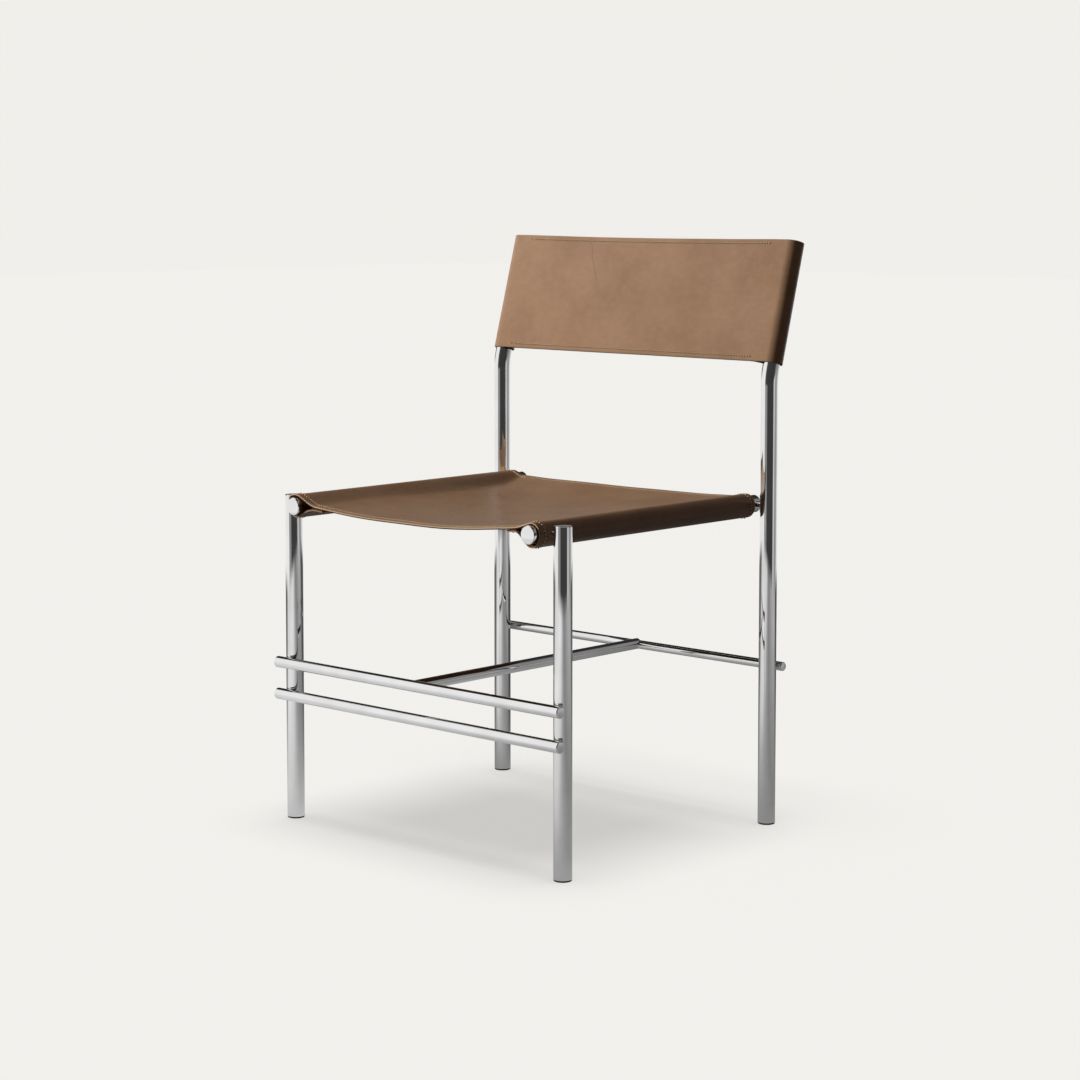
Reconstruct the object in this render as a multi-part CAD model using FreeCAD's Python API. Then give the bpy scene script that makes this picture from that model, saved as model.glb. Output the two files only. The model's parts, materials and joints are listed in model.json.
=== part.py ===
"""A dining chair of chromed round tube with a sling seat and a sling back of saddle leather.

The frame is four legs, two seat rails, two front bars, a rear bar and a centre bar. The
leather is sleeved over the rails and over the leaning uprights. Millimetres, +Z up, the
front of the chair faces -Y and the sitter's left is +X. The origin is on the floor, in the
middle of the chair's overall width and depth.
"""
import FreeCAD
import Part
import math
import os
from FreeCAD import Vector

# Tubes: outer diameter and wall
leg_tube = 25.0
leg_wall = 2.0
rail_tube = 25.0
rail_wall = 2.0
front_bar_tube = 16.0
front_bar_wall = 1.5
rear_bar_tube = 13.0
rear_bar_wall = 1.5
centre_bar_tube = 16.0
centre_bar_wall = 1.5

# Where the legs stand, axis to axis, and how high they reach
leg_spacing = 522.0
leg_depth = 431.5
front_leg_height = 469.5
upright_bend_height = 641.0
upright_bend_radius = 95.0
upright_lean = 15.9
upright_cap_below_leather = 14.0

# Seat rails, which run inside the legs
rail_height = 457.0
rail_leg_gap = 8.2
rail_front_reach = 32.5
rail_rear_bridge = 2.0
rail_rear_plate = 2.0

# Cross bars: heights of their axes, how far their ends lie outside the legs' axes, and how
# deep a bar is notched on to a leg
front_bar_upper_height = 228.0
front_bar_lower_height = 182.0
front_bar_overhang = 15.0
rear_bar_height = 226.0
rear_bar_overhang = 15.0
centre_bar_height = 227.0
saddle_depth = 0.5
weld_bead_diameter = 11.0

# Caps that close the tube ends, and glides under the legs
leg_cap_lip = 2.4
rail_cap_lip = 2.4
bar_cap_lip = 1.6
cap_dome = 0.4
cap_chamfer = 0.9
cap_plug_depth = 10.0
cap_fit = 0.1
glide_lip = 2.5
glide_inset = 0.4
glide_round = 1.2
glide_plug_depth = 14.0

# Joint between a rail and a leg: a welded spacer and a socket screw inside the rail
spacer_diameter = 10.0
spacer_skin = 1.2
screw_diameter = 6.0
screw_head_diameter = 10.0
screw_head_height = 6.0
screw_hex = 5.0
screw_hex_depth = 3.0
screw_hole_clearance = 0.3
screw_access_diameter = 12.0

# Leather of the seat
seat_leather = 3.2
seat_fit = 0.1
seat_front_setback = 7.5
seat_rear_setback = 7.75
seat_seam_inboard = 38.0
seat_seam_width = 14.0
spacer_hole_clearance = 0.6

# Drop of the seat below the top of its sleeves, at the seam over the flap and in the middle
front_seam_drop = 10.5
front_middle_drop = 20.5
centre_seam_drop = 13.5
centre_middle_drop = 25.5
rear_seam_drop = 5.2
rear_middle_drop = 7.2
deepest_share = 0.6
seat_sections = 9

# Leather of the back, measured along the uprights from their bend
back_leather = 2.8
back_fit = 0.1
back_bottom_distance = 18.0
back_top_distance = 196.0
back_seam_inboard = 27.0

# Sizes that follow
leg_r = leg_tube / 2
rail_r = rail_tube / 2
front_bar_r = front_bar_tube / 2
rear_bar_r = rear_bar_tube / 2
leg_x = leg_spacing / 2
rail_x = leg_x - leg_r - rail_leg_gap - rail_r
back_outer_r = leg_r + back_fit + back_leather
seat_outer_r = rail_r + seat_fit + seat_leather
lean = math.radians(upright_lean)

front_reach = leg_depth / 2 + rail_front_reach
rear_reach = leg_depth / 2 + back_top_distance * math.sin(lean) + back_outer_r * math.cos(lean)
middle_y = (front_reach - rear_reach) / 2
front_leg_y = middle_y - leg_depth / 2
rear_leg_y = middle_y + leg_depth / 2
front_bar_y = front_leg_y - leg_r - front_bar_r + saddle_depth
rear_bar_y = rear_leg_y + leg_r + rear_bar_r - saddle_depth
rail_front_y = front_leg_y - rail_front_reach
rail_rear_y = rear_leg_y + screw_access_diameter / 2 + rail_rear_bridge + rail_rear_plate
seat_front_y = rail_front_y + seat_front_setback
seat_rear_y = rear_leg_y - seat_rear_setback
front_leg_top = front_leg_height - leg_cap_lip - cap_dome
upright_top = back_top_distance - upright_cap_below_leather - leg_cap_lip - cap_dome

UP = Vector(0, 0, 1)
FRONT = Vector(0, -1, 0)
BACK = Vector(0, 1, 0)
LEANING = Vector(0, math.sin(lean), math.cos(lean))
SIDES = {"left": 1, "right": -1}
LEG_DEPTHS = (front_leg_y, rear_leg_y)
HEX_CORNERS = 6


def rod(start, end, diameter):
    """A solid round bar from one point to another."""
    axis = end - start
    return Part.makeCylinder(diameter / 2, axis.Length, start, axis)


def tube(start, end, diameter, wall):
    """A straight hollow tube with square ends."""
    return rod(start, end, diameter).cut(rod(start, end, diameter - 2 * wall))


def turned(outline, base=Vector(0, 0, 0), axis=UP):
    """A solid turned from an outline of (radius, height) points. A triple is the end of a
    curve that starts along the line to its third item and arrives along the line from it."""
    edges = []
    last = Vector(outline[0][0], 0, outline[0][1])
    for point in outline[1:] + outline[:1]:
        here = Vector(point[0], 0, point[1])
        if len(point) == 3:
            curve = Part.BezierCurve()
            curve.setPoles([last, Vector(point[2][0], 0, point[2][1]), here])
            edges.append(curve.toShape())
        else:
            edges.append(Part.LineSegment(last, here).toShape())
        last = here
    solid = Part.Face(Part.Wire(edges)).revolve(Vector(0, 0, 0), UP, 360)
    solid.Placement = FreeCAD.Placement(base, FreeCAD.Rotation(UP, axis))
    return solid


def end_cap(diameter, wall, lip, base, axis):
    """A cap on a tube's end at base: a plug in the bore, a lip as wide as the tube, a chamfer
    round its rim and a slightly domed face."""
    r = diameter / 2
    plug_r = r - wall - cap_fit
    flat_r = r - cap_chamfer
    outline = [(0, -cap_plug_depth), (plug_r, -cap_plug_depth), (plug_r, 0), (r, 0)]
    crown = lip + cap_dome
    outline += [(r, lip - cap_chamfer), (flat_r, lip), (0, crown, (flat_r / 2, crown))]
    return turned(outline, base, axis)


def glide(base):
    """A foot glide: a lip with a rounded floor edge and a plug in the leg's bore."""
    lip_r = leg_r - glide_inset
    plug_r = leg_r - leg_wall - cap_fit
    edge = (lip_r, glide_round, (lip_r, 0))
    outline = [(0, 0), (lip_r - glide_round, 0), edge, (lip_r, glide_lip)]
    outline += [(plug_r, glide_lip), (plug_r, glide_lip + glide_plug_depth)]
    outline += [(0, glide_lip + glide_plug_depth)]
    return turned(outline, base)


def upright_point(x, distance):
    """A point on a leaning upright's axis, so far above the point where its two runs meet."""
    return Vector(x, rear_leg_y, upright_bend_height) + LEANING * distance


def bent_upright(x, diameter):
    """The full round shape of a rear leg: straight up, bent back and straight to its top."""
    r = upright_bend_radius
    tangent = r * math.tan(lean / 2)
    bend_start = Vector(x, rear_leg_y, upright_bend_height - tangent)
    bend_end = upright_point(x, tangent)
    lower = rod(Vector(x, rear_leg_y, glide_lip), bend_start, diameter)
    section = Part.Face(Part.Wire(Part.makeCircle(diameter / 2, bend_start, UP)))
    centre = bend_start + Vector(0, r, 0)
    bend = section.revolve(centre, Vector(-1, 0, 0), upright_lean)
    upper = rod(bend_end, upright_point(x, upright_top), diameter)
    return lower.fuse([bend, upper]).removeSplitter()


# Frame


def front_leg(x):
    top = Vector(x, front_leg_y, front_leg_top)
    return tube(Vector(x, front_leg_y, glide_lip), top, leg_tube, leg_wall)


def front_leg_cap(x):
    return end_cap(leg_tube, leg_wall, leg_cap_lip, Vector(x, front_leg_y, front_leg_top), UP)


def rear_leg(x):
    return bent_upright(x, leg_tube).cut(bent_upright(x, leg_tube - 2 * leg_wall))


def rear_leg_cap(x):
    return end_cap(leg_tube, leg_wall, leg_cap_lip, upright_point(x, upright_top), LEANING)


def screw_seat():
    """Distance from a rail's axis to the underside of a screw head that touches its bore."""
    bore_r = rail_r - rail_wall
    return math.sqrt(bore_r ** 2 - (screw_head_diameter / 2) ** 2)


def seat_rail(side):
    x = side * rail_x
    start = Vector(x, rail_front_y + rail_cap_lip + cap_dome, rail_height)
    end = Vector(x, rail_rear_y - rail_rear_plate, rail_height)
    rail = tube(start, end, rail_tube, rail_wall)
    out = Vector(side, 0, 0)
    for y in LEG_DEPTHS:
        axis_point = Vector(x, y, rail_height)
        hole = screw_diameter + 2 * screw_hole_clearance
        rail = rail.cut(rod(axis_point, axis_point + out * rail_tube, hole))
        rail = rail.cut(rod(axis_point, axis_point - out * rail_tube, screw_access_diameter))
    return rail


def rail_front_cap(side):
    base = Vector(side * rail_x, rail_front_y + rail_cap_lip + cap_dome, rail_height)
    return end_cap(rail_tube, rail_wall, rail_cap_lip, base, FRONT)


def rail_rear_cap(side):
    """A plate welded on a rail's rear end, with a chamfer round its rim."""
    r = rail_r
    flat = rail_rear_plate - cap_chamfer
    outline = [(0, 0), (r, 0), (r, flat), (r - cap_chamfer, rail_rear_plate), (0, rail_rear_plate)]
    return turned(outline, Vector(side * rail_x, rail_rear_y - rail_rear_plate, rail_height), BACK)


def rail_spacer(side, y):
    """A short round spacer, shaped to the rail at one end and welded to the leg at the other."""
    rail_point = Vector(side * rail_x, y, rail_height)
    leg_point = Vector(side * leg_x, y, rail_height)
    spacer = rod(rail_point, leg_point, spacer_diameter)
    reach = Vector(0, spacer_diameter, 0)
    spacer = spacer.cut(rod(rail_point - reach, rail_point + reach, rail_tube))
    rise = Vector(0, 0, spacer_diameter)
    spacer = spacer.cut(rod(leg_point - rise, leg_point + rise, leg_tube))
    bore_end = Vector(side * (leg_x - leg_r - spacer_skin), y, rail_height)
    return spacer.cut(rod(rail_point, bore_end, screw_diameter))


def rail_screw(side, y):
    out = Vector(side, 0, 0)
    head_base = Vector(side * rail_x, y, rail_height) + out * screw_seat()
    head_top = head_base - out * screw_head_height
    tip = Vector(side * (leg_x - leg_r - spacer_skin), y, rail_height)
    screw = rod(head_top, head_base, screw_head_diameter).fuse(rod(head_base, tip, screw_diameter))
    corner = screw_hex / 2 / math.cos(math.pi / HEX_CORNERS)
    angles = [2 * math.pi * turn / HEX_CORNERS for turn in range(HEX_CORNERS + 1)]
    ring = [head_top + Vector(0, corner * math.cos(a), corner * math.sin(a)) for a in angles]
    socket = Part.Face(Part.makePolygon(ring)).extrude(out * screw_hex_depth)
    return screw.cut(socket).removeSplitter()


def cross_bar(y, z, overhang, diameter, wall, leg_y):
    """A bar across the legs, its side notched to fit both of them."""
    half = leg_x + overhang - bar_cap_lip - cap_dome
    bar = tube(Vector(-half, y, z), Vector(half, y, z), diameter, wall)
    for side in SIDES.values():
        foot = Vector(side * leg_x, leg_y, z - diameter)
        bar = bar.cut(rod(foot, foot + Vector(0, 0, 2 * diameter), leg_tube))
    return bar


def bar_caps(y, z, overhang, diameter, wall):
    half = leg_x + overhang - bar_cap_lip - cap_dome
    caps = []
    for side in SIDES.values():
        base = Vector(side * half, y, z)
        caps.append(end_cap(diameter, wall, bar_cap_lip, base, Vector(side, 0, 0)))
    return caps


def bar_welds(y, z, diameter, leg_y):
    """A bead round each place where a bar touches a leg: a short round plug between the two,
    less both tubes."""
    beads = []
    for side in SIDES.values():
        leg_point = Vector(side * leg_x, leg_y, z)
        bar_point = Vector(side * leg_x, y, z)
        bead = rod(leg_point, bar_point, weld_bead_diameter)
        rise = Vector(0, 0, weld_bead_diameter)
        bead = bead.cut(rod(leg_point - rise, leg_point + rise, leg_tube))
        run = Vector(weld_bead_diameter, 0, 0)
        beads.append(bead.cut(rod(bar_point - run, bar_point + run, diameter)))
    return beads


def centre_bar():
    """The bar down the middle, its ends coped round the upper front bar and the rear bar."""
    start = Vector(0, front_bar_y, centre_bar_height)
    end = Vector(0, rear_bar_y, centre_bar_height)
    bar = tube(start, end, centre_bar_tube, centre_bar_wall)
    run = Vector(centre_bar_tube, 0, 0)
    front = Vector(0, front_bar_y, front_bar_upper_height)
    rear = Vector(0, rear_bar_y, rear_bar_height)
    bar = bar.cut(rod(front - run, front + run, front_bar_tube))
    return bar.cut(rod(rear - run, rear + run, rear_bar_tube))


# Leather


def tangent_angle(point, radius, turn):
    """Angle, round a circle at the origin, of the point where a line from a point outside it
    touches the circle. Turn 1 takes the upper tangent and -1 the lower one."""
    u, v = point
    return math.atan2(v, u) + turn * math.acos(radius / math.hypot(u, v))


def on_circle(radius, angle):
    return (radius * math.cos(angle), radius * math.sin(angle))


def sleeve_arc(radius, upper, lower):
    """Three points of the arc that a sleeve follows round its tube, away from the sheet:
    from where the upper sheet meets it to where the lower one leaves it."""
    start = tangent_angle(upper, radius, 1)
    end = tangent_angle(lower, radius, -1)
    return [on_circle(radius, start), on_circle(radius, math.pi), on_circle(radius, end)]


def line(a, b):
    return Part.LineSegment(a, b).toShape()


def arc(a, b, c):
    return Part.Arc(a, b, c).toShape()


def hanging(left, right, middle_z):
    """The curve of a sheet that hangs between two points as high as each other, down to the
    given height in its middle."""
    curve = Part.BezierCurve()
    curve.setPoles([left, Vector(0, left.y, 2 * middle_z - left.z), right])
    return curve.toShape()


def pocket(radius, corner, place):
    """Outline of the hollow of a sleeve: round the tube and to the corner at the seam."""
    points = [place(p) for p in sleeve_arc(radius, corner, corner)]
    tip = place(corner)
    return Part.Wire([arc(*points), line(points[2], tip), line(tip, points[0])])


def on_seat(side, y):
    """Where a point of the seat's section lies, given inboard of a rail's axis and above it."""
    return lambda p: Vector(side * (rail_x - p[0]), y, rail_height + p[1])


def seat_station(y, seam_drop, middle_drop):
    """The seat's section at one depth: its outer outline and the outlines of its two pockets.
    The flap lies under the sheet from the seam inwards and follows the sheet's slope there."""
    t = seat_leather
    seam = seat_outer_r - seam_drop
    slope = 2 * (middle_drop - seam_drop) / (rail_x - seat_seam_inboard)
    flap_end = seat_seam_inboard + seat_seam_width
    flap_top = seam - t - slope * seat_seam_width
    top = (seat_seam_inboard, seam)
    below = (seat_seam_inboard, seam - 2 * t)
    inner = (seat_seam_inboard - t, seam - t)
    edges, tops, steps, pockets = [], [], [], []
    for side in SIDES.values():
        place = on_seat(side, y)
        sleeve = [place(p) for p in sleeve_arc(seat_outer_r, top, below)]
        flap = [place(p) for p in (below, (flap_end, flap_top - t), (flap_end, flap_top))]
        edges += [line(place(top), sleeve[0]), arc(*sleeve), line(sleeve[2], flap[0])]
        edges += [line(flap[0], flap[1]), line(flap[1], flap[2])]
        tops.append(place(top))
        steps.append(flap[2])
        pockets.append(pocket(rail_r + seat_fit, inner, place))
    middle_z = rail_height + seat_outer_r - middle_drop
    edges += [hanging(*tops, middle_z), hanging(*steps, middle_z - t)]
    return [Part.Wire(Part.sortEdges(edges)[0])] + pockets


def seat_drop(share, front, centre, rear):
    """A drop of the seat at a share of its depth: it eases from the front edge's value to the
    deepest place's and from there to the rear edge's, level at all three."""
    if share < deepest_share:
        start, end, way = front, centre, share / deepest_share
    else:
        start, end, way = centre, rear, (share - deepest_share) / (1 - deepest_share)
    return start + (end - start) * (1 - math.cos(math.pi * way)) / 2


def seat_sling():
    """The seat: one sheet across both rails, whose ends wrap the rails and are sewn beneath."""
    stations = []
    for step in range(seat_sections):
        share = step / (seat_sections - 1)
        y = seat_front_y + share * (seat_rear_y - seat_front_y)
        seam = seat_drop(share, front_seam_drop, centre_seam_drop, rear_seam_drop)
        middle = seat_drop(share, front_middle_drop, centre_middle_drop, rear_middle_drop)
        stations.append(seat_station(y, seam, middle))
    seat, *pockets = [Part.makeLoft(list(wires), True, True) for wires in zip(*stations)]
    seat = seat.cut(pockets)
    for side in SIDES.values():
        start = Vector(side * rail_x, front_leg_y, rail_height)
        end = Vector(side * (leg_x - leg_r), front_leg_y, rail_height)
        seat = seat.cut(rod(start, end, spacer_diameter + 2 * spacer_hole_clearance))
    return seat


def on_back(side):
    """Where a point of the back's section lies, given inboard of an upright's axis and in
    front of it."""
    return lambda p: Vector(side * (leg_x - p[0]), -p[1], 0)


def back_sling():
    """The back: two layers sewn along their top and bottom edges, which part into a sleeve
    round each upright. It is drawn upright at the bend and leant back with the uprights."""
    t = back_leather
    top = (back_seam_inboard, back_outer_r)
    below = (back_seam_inboard, back_outer_r - 2 * t)
    inner = (back_seam_inboard - t, back_outer_r - t)
    rise = UP * (back_top_distance - back_bottom_distance)
    edges, fronts, backs, pockets = [], [], [], []
    for side in SIDES.values():
        place = on_back(side)
        sleeve = [place(p) for p in sleeve_arc(back_outer_r, top, below)]
        edges += [arc(*sleeve), line(sleeve[2], place(below))]
        fronts.append(sleeve[0])
        backs.append(place(below))
        pockets.append(Part.Face(pocket(leg_r + back_fit, inner, place)).extrude(rise))
    edges += [line(*fronts), line(*backs)]
    sling = Part.Face(Part.Wire(Part.sortEdges(edges)[0])).extrude(rise).cut(pockets)
    sling.translate(UP * back_bottom_distance)
    sling.rotate(Vector(0, 0, 0), Vector(1, 0, 0), -upright_lean)
    sling.translate(Vector(0, rear_leg_y, upright_bend_height))
    return sling


def build():
    """Every piece, by the name of its node. A list is a group of like pieces."""
    nodes = {}
    for name, side in SIDES.items():
        x = side * leg_x
        nodes["front_leg_" + name] = front_leg(x)
        nodes["rear_leg_" + name] = rear_leg(x)
        nodes["front_leg_cap_" + name] = front_leg_cap(x)
        nodes["rear_leg_cap_" + name] = rear_leg_cap(x)
        nodes["foot_glide_front_" + name] = glide(Vector(x, front_leg_y, 0))
        nodes["foot_glide_rear_" + name] = glide(Vector(x, rear_leg_y, 0))
        nodes["seat_rail_" + name] = seat_rail(side)
        nodes["rail_front_cap_" + name] = rail_front_cap(side)
        nodes["rail_rear_cap_" + name] = rail_rear_cap(side)
        nodes["rail_spacer_front_" + name] = rail_spacer(side, front_leg_y)
        nodes["rail_spacer_rear_" + name] = rail_spacer(side, rear_leg_y)
    nodes["rail_screws"] = [rail_screw(side, y) for side in SIDES.values() for y in LEG_DEPTHS]

    front = (front_bar_y, front_leg_y, front_bar_overhang, front_bar_tube, front_bar_wall)
    rear = (rear_bar_y, rear_leg_y, rear_bar_overhang, rear_bar_tube, rear_bar_wall)
    bars = {
        "front_bar_upper": (front_bar_upper_height, *front),
        "front_bar_lower": (front_bar_lower_height, *front),
        "rear_bar": (rear_bar_height, *rear),
    }
    for name, (z, y, leg_y, overhang, diameter, wall) in bars.items():
        nodes[name] = cross_bar(y, z, overhang, diameter, wall, leg_y)
        nodes[name + "_caps"] = bar_caps(y, z, overhang, diameter, wall)
        nodes[name + "_welds"] = bar_welds(y, z, diameter, leg_y)
    nodes["centre_bar"] = centre_bar()
    nodes["seat_leather"] = seat_sling()
    nodes["back_leather"] = back_sling()
    return nodes


os.makedirs("parts", exist_ok=True)
for node, shape in build().items():
    if isinstance(shape, list):
        shape = Part.makeCompound(shape)
    shape.exportStep("parts/" + node + ".step")
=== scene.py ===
"""A dining chair of chromed tube and saddle leather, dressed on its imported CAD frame.

The file is laid out as a Blender add-on and run as a script. Metres, +Z up, the chair faces
-Y and the sitter's left is +X. The tubes, caps and glides are the frame's own; the leather of
the seat and of the back, its cut edges and its sewing are worked out here.
"""

import json
from math import cos, pi, radians, sin

import bpy
import numpy as np
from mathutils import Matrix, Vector

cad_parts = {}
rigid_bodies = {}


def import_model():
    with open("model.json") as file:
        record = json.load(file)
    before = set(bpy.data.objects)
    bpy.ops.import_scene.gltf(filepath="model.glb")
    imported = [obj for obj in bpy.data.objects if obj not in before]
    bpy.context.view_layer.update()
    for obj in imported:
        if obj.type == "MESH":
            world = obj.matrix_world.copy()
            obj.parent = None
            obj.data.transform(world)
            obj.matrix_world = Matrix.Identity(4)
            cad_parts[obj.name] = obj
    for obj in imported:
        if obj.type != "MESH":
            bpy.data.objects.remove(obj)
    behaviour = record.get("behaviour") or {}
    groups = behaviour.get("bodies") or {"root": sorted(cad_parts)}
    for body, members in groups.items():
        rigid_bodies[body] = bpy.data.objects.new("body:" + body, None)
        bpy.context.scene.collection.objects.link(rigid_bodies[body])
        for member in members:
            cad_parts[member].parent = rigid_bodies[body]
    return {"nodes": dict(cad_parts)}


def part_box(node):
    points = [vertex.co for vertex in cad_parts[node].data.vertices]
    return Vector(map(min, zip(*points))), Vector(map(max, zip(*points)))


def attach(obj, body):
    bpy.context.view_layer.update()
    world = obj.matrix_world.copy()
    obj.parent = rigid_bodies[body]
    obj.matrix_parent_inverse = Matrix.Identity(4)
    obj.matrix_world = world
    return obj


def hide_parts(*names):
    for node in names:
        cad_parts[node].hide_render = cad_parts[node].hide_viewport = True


bl_info = {
    "name": "Leather Dining Chair",
    "version": (1, 0, 0),
    "blender": (4, 5, 0),
    "location": "View3D > Sidebar > Chair",
    "description": "Dresses the frame of a tubular dining chair with a leather seat and back",
    "category": "Add Mesh",
}

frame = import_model()

MM = 0.001
FAR, NEAR = -1, 1


def rounded(place):
    """A place in the frame to a hundredth of a millimetre, which is finer than its meshes."""
    return np.round(np.array(place) / MM, 2) * MM


def middle(node):
    """Middle of the box of one of the frame's nodes."""
    low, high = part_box(node)
    return rounded((low + high) / 2)


# What the leather takes from the frame: the axis of a rail, the foot of an upright, the ends
# of the seat's solid and the outer radius of the tubes
RAIL = middle("rail_front_cap_left")
UPRIGHT = middle("foot_glide_rear_left")
SEAT_FRONT, SEAT_REAR = (rounded(corner)[1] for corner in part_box("seat_leather"))
TUBE_RADIUS = rounded(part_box("rear_leg_left")[1])[0] - UPRIGHT[0]

# Radius over which a cut edge of the leather is rounded, the places of the rows of points over
# it, and the spacing of the points elsewhere
ROUNDING = 1.25 * MM
EDGE_ROWS = np.array([0, 0.12, 0.35, 0.65, 1]) * ROUNDING
SPACING = 4 * MM

# Level directions across the picture to its right, and from the chair to the camera
TO_RIGHT = (0.732, 0.681, 0.0)
TO_CAMERA = (0.681, -0.732, 0.0)

# Depths of the chair at which the seat's shape is known, from its front edge to its rear
# edge, and at each the height of the sheet: at the crease beside either rail and midway
SEAT_DEPTHS = np.array([-259, -170, -93, -18, 73, 122, 160, 191]) * MM
CREASE_HEIGHTS = {
    FAR: np.array([459.3, 459.9, 459.5, 457.9, 455.9, 457.2, 461.5, 467.6]) * MM,
    NEAR: np.array([464.5, 463.0, 461.2, 459.8, 459.2, 460.6, 464.5, 468.8]) * MM,
}
MIDDLE_HEIGHTS = np.array([452.3, 450.0, 448.2, 447.3, 449.2, 453.4, 459.8, 465.8]) * MM

# How far the crease lies inboard of the rail's axis, at the same depths
CREASE_INBOARD = {
    FAR: np.array([39.8, 39.8, 39.8, 39.6, 38.0, 35.0, 28.0, 22.0]) * MM,
    NEAR: np.array([30.5, 31.5, 32.5, 33.0, 32.5, 31.0, 27.0, 23.0]) * MM,
}


# Sizes and colours


def linear(colour):
    """An sRGB hex colour as the linear values that the shaders take."""
    part = np.array([int(colour[i : i + 2], 16) for i in (1, 3, 5)]) / 255
    bent = np.where(part <= 0.04045, part / 12.92, ((part + 0.055) / 1.055) ** 2.4)
    return (*bent.tolist(), 1.0)


def length(name, description, default):
    """A size in metres that the panel shows as a length."""
    return bpy.props.FloatProperty(
        name=name, description=description, default=default, unit="LENGTH"
    )


def colour(name, description, default):
    """A colour of the panel from its sRGB hex."""
    return bpy.props.FloatVectorProperty(
        name=name, description=description, default=linear(default), size=4, subtype="COLOR"
    )


class SeatSizes(bpy.types.PropertyGroup):
    """Sizes of the seat's leather."""

    thickness: length("Leather", "Thickness of the seat's leather", 3.2 * MM)
    rail_x: length("Rail place", "Distance of a seat rail's axis from the middle", RAIL[0])
    rail_z: length("Rail height", "Height of the seat rails' axes", RAIL[2])
    front: length("Front edge", "Depth at which the leather is cut in front", SEAT_FRONT)
    rear: length("Rear edge", "Depth at which the leather is cut behind", SEAT_REAR + 0.4 * MM)
    sleeve: length(
        "Sleeve radius", "Outer radius of the leather round a rail", TUBE_RADIUS + 3.4 * MM
    )
    flap: length("Flap", "How far the ends run beneath the sheet past the crease", 14 * MM)


class BackSizes(bpy.types.PropertyGroup):
    """Sizes of the back's leather."""

    thickness: length("Leather", "Thickness of one layer of the back", 2.8 * MM)
    upright_x: length("Upright place", "Distance of an upright's axis from the middle", UPRIGHT[0])
    upright_y: length("Upright depth", "Depth of an upright's axis below its bend", UPRIGHT[1])
    bend_z: length("Bend height", "Height at which the uprights begin to lean", 641 * MM)
    sleeve: length(
        "Sleeve radius", "Outer radius of the leather round an upright", TUBE_RADIUS + 2.9 * MM
    )
    seam: length("Pocket", "How far inboard of an upright's axis the layers part", 27 * MM)
    bottom: length("Bottom edge", "Distance of the bottom edge along the uprights", 18 * MM)
    top: length("Top edge", "Distance of the top edge along the uprights", 196 * MM)
    dip: length("Top dip", "How far the top edge hangs in its middle", 1.8 * MM)
    vein: length("Vein", "Distance of the hide's vein from the far upright at the top", 148 * MM)
    lean: bpy.props.FloatProperty(
        name="Lean",
        description="Angle at which the uprights lean back",
        default=radians(15.9),
        subtype="ANGLE",
    )


class SewingSizes(bpy.types.PropertyGroup):
    """Sizes of the saddle stitching."""

    pitch: length("Pitch", "Distance from one stitch to the next", 4.7 * MM)
    thread: length("Thread", "Diameter of the thread", 1.7 * MM)
    margin: length("Back margin", "Distance of the back's stitching from its edges", 6.4 * MM)
    seat_margin: length("Seat margin", "Distance of the seat's stitching from its edges", 10 * MM)
    flap_margin: length("Flap margin", "Distance of the flaps' stitching from their ends", 6 * MM)


class Finishes(bpy.types.PropertyGroup):
    """Colours of the finishes."""

    hide: colour("Leather", "Waxed grain side of the leather", "#886B54")
    patina: colour("Patina", "Where the leather has darkened", "#765941")
    rubbed: colour("Rubbed", "Where the leather has been rubbed lighter", "#927456")
    cut_edge: colour("Cut edge", "Raw edge of the leather", "#AE947C")
    flesh: colour("Flesh side", "Napped underside of the leather", "#8A6544")
    thread: colour("Thread", "Waxed linen thread", "#D4B896")
    chrome: colour("Chrome", "Bright chromium plate", "#EFEFEF")
    zinc: colour("Zinc", "Zinc plate of the screws", "#B4B6B8")
    rubber: colour("Rubber", "Moulded rubber of the glides", "#161514")


class StudioSettings(bpy.types.PropertyGroup):
    """Backdrop and lights."""

    backdrop: colour("Backdrop", "Pale backdrop and floor", "#F0EFEB")
    key: bpy.props.FloatProperty(name="Key", description="Strength of the key light", default=4.1)
    rear: bpy.props.FloatProperty(name="Rear", description="Soft light from behind", default=1.2)
    top: bpy.props.FloatProperty(name="Top", description="Light on the floor", default=8.4)
    glow: bpy.props.FloatProperty(
        name="Floor glow", description="Brightness of the floor in full shadow", default=0.672
    )
    floor_tint: bpy.props.FloatProperty(
        name="Floor tint", description="Share of the light that the floor returns", default=0.12
    )
    floor_reach: length("Floor reach", "Distance to which tubes reflect the floor", 2.7)


# Building tools


def add(tree, kind, links=None, stops=None, **settings):
    """Adds a shader node with its settings, its ramp stops as (place, grey or colour), and its
    inputs, each set to a value or linked to a socket or to a node's first output in use."""
    node = tree.nodes.new("ShaderNode" + kind)
    for name, value in settings.items():
        setattr(node, name, value)
    if stops:
        ramp = node.color_ramp.elements
        while len(ramp) < len(stops):
            ramp.new(1.0)
        for element, (place, value) in zip(ramp, stops):
            element.position = place
            element.color = value if hasattr(value, "__len__") else (value, value, value, 1)
    for socket, value in (links or {}).items():
        if isinstance(value, bpy.types.Node):
            value = next(output for output in value.outputs if output.enabled)
        if isinstance(value, bpy.types.NodeSocket):
            tree.links.new(value, node.inputs[socket])
        else:
            node.inputs[socket].default_value = value
    return node


def new_material(name):
    """An empty node material and its tree."""
    material = bpy.data.materials.new(name)
    material.use_nodes = True
    material.node_tree.nodes.clear()
    return material, material.node_tree


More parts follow.
